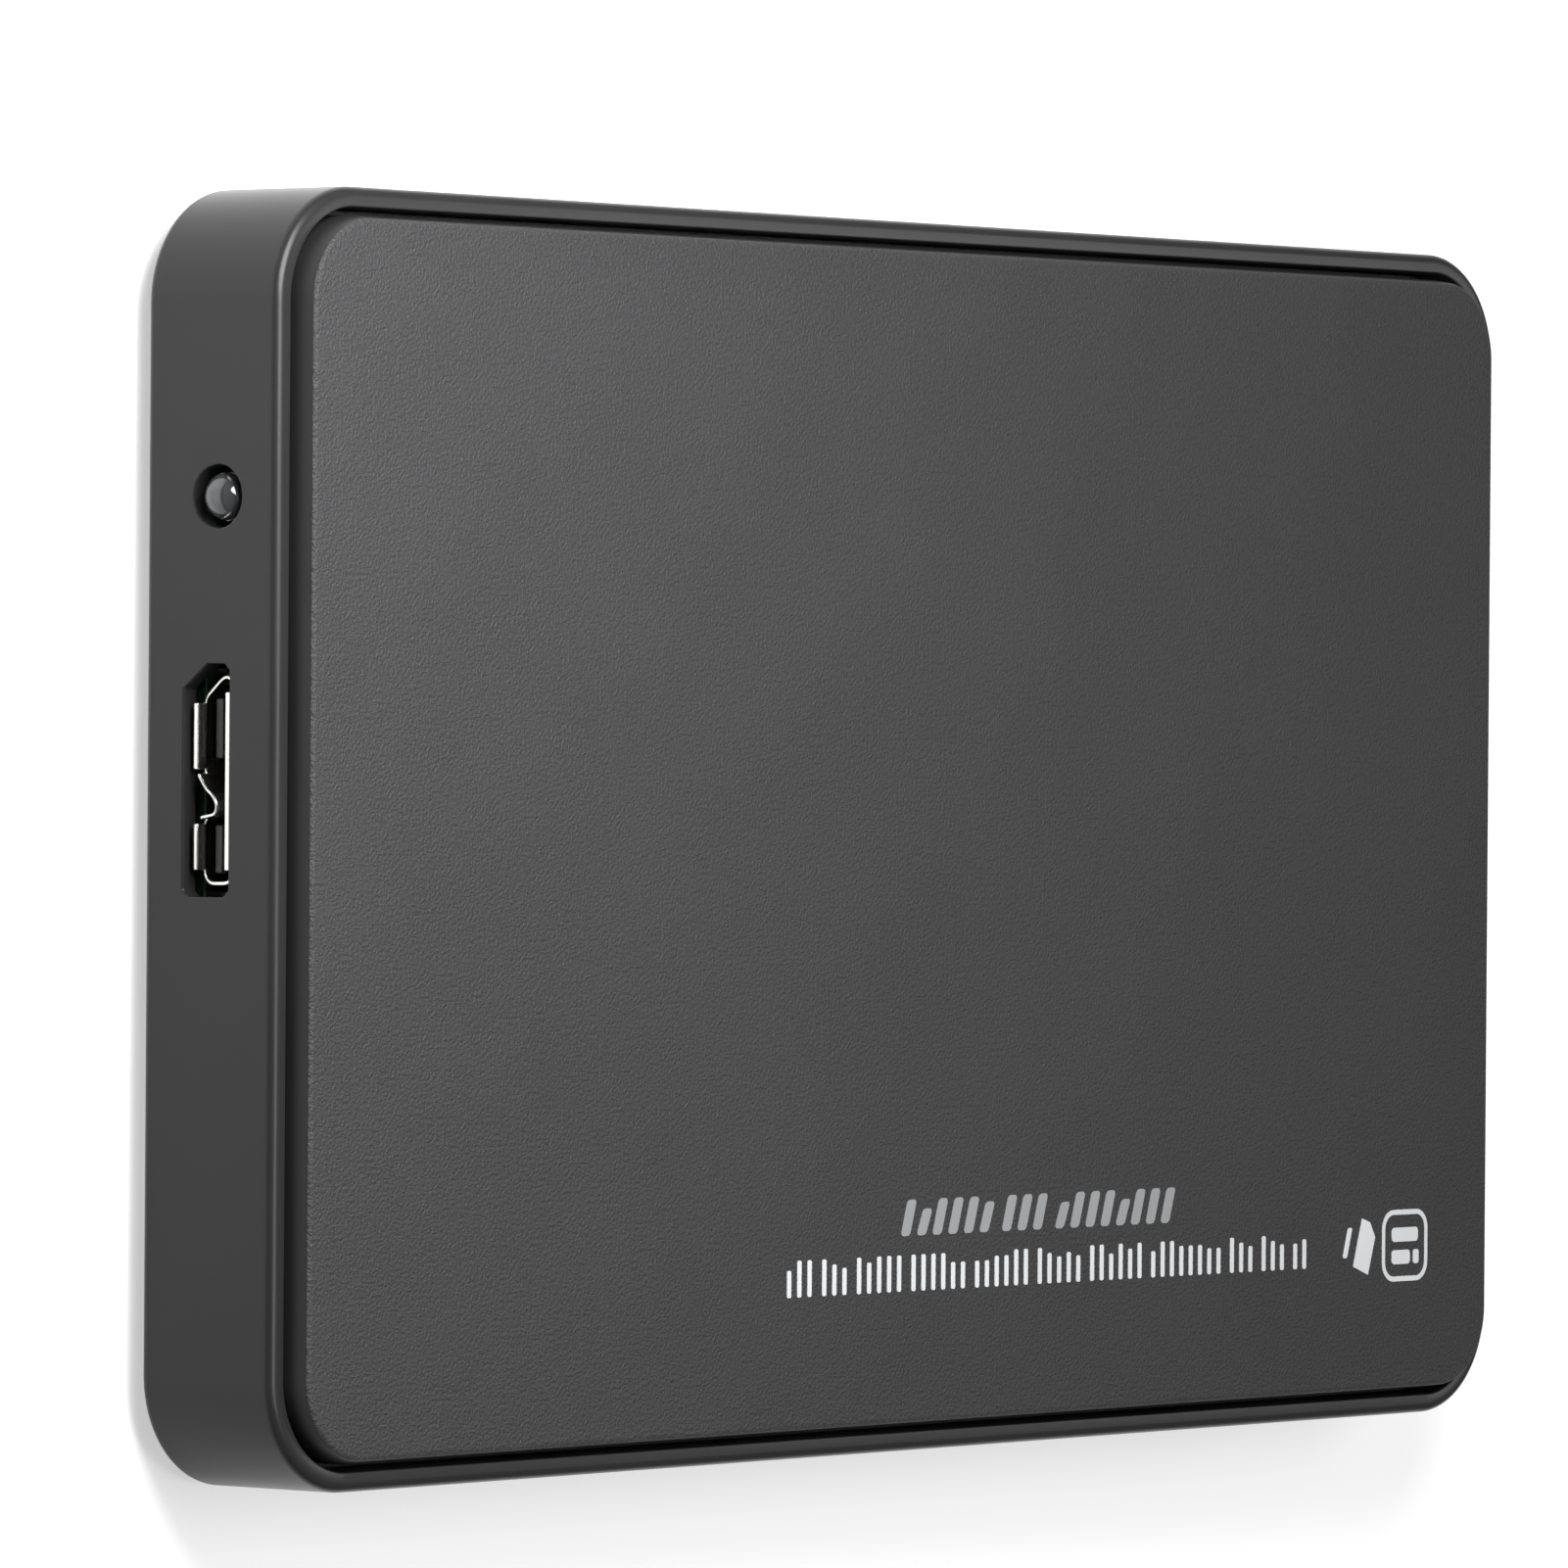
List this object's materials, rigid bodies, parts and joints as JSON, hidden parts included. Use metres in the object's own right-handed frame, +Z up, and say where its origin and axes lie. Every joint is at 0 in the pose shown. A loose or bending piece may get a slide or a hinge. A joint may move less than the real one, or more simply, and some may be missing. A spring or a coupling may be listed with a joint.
{
  "type": "solid state drive",
  "caption": "Pocket-size external solid state drive: a flat plastic case with a hinged snap cover, a data socket, a status lamp and a removable inner drive.",
  "frame": {"origin": "middle of the base panel's lower face", "axes": "+X from the socket end to the far end, +Y across the case towards the lamp side, +Z up out of the cover"},
  "size_m": [0.1254, 0.078, 0.013],
  "materials": {
    "gloss_black": "smooth gloss moulding",
    "textured_black": "fine grained matte moulding",
    "foam": "soft closed-cell foam",
    "green_board": "green solder mask on glass laminate",
    "blue_board": "blue solder mask on glass laminate",
    "zinc_steel": "bright zinc",
    "black_steel": "blackened",
    "plated_steel": "nickel plated",
    "gold_plate": "gold plated",
    "tinned_lead": "tinned",
    "black_nylon": "satin",
    "clear_epoxy": "clear cast epoxy",
    "chip_epoxy": "matte moulded",
    "ferrite": "sintered",
    "tantalum_yellow": "satin",
    "ceramic_tan": "fired ceramic",
    "resistor_black": "glazed",
    "bare_aluminium": "satin cast",
    "painted_lid": "satin black",
    "thermal_rubber": "soft pad",
    "label_silver": "blank printed film"
  },
  "bodies": {
    "case": {"band": "gloss_black", "base_tray": "textured_black", "foam_pad": "foam", "bridge_board": "green_board", "board_screws": "zinc_steel", "usb_shell": "plated_steel", "usb_insulator": "black_nylon", "usb_contacts": "gold_plate", "lamp": "clear_epoxy", "lamp_leads": "tinned_lead", "sata_receptacle": "black_nylon", "sata_contacts": "gold_plate", "bridge_chip": "chip_epoxy", "bridge_chip_leads": "tinned_lead", "flash_chip": "chip_epoxy", "flash_chip_leads": "tinned_lead", "crystal": "plated_steel", "inductor": "ferrite", "bulk_capacitor": "tantalum_yellow", "chip_capacitors": "ceramic_tan", "chip_resistors": "resistor_black"},
    "cover": {"top_cover": "textured_black"},
    "drive": {"drive_base": "bare_aluminium", "drive_lid": "painted_lid", "drive_board": "blue_board", "drive_plug": "black_nylon", "plug_contacts": "gold_plate", "controller": "chip_epoxy", "memory_chip": "chip_epoxy", "nand_1": "chip_epoxy", "nand_2": "chip_epoxy", "nand_3": "chip_epoxy", "nand_4": "chip_epoxy", "drive_capacitors": "ceramic_tan", "thermal_pad": "thermal_rubber", "drive_screws": "black_steel", "drive_board_screws": "zinc_steel", "drive_label": "label_silver"}
  },
  "joints": [
    {"name": "cover_hinge", "type": "hinge", "parent": "case", "child": "cover", "pos_m": [0.06125, 0, 0.0117], "axis": [0, 1, 0], "range_deg": [0, 75]},
    {"name": "drive_slide", "type": "slide", "parent": "case", "child": "drive", "axis": [1, 0, 0], "range_m": [0, 0.0052]}
  ]
}
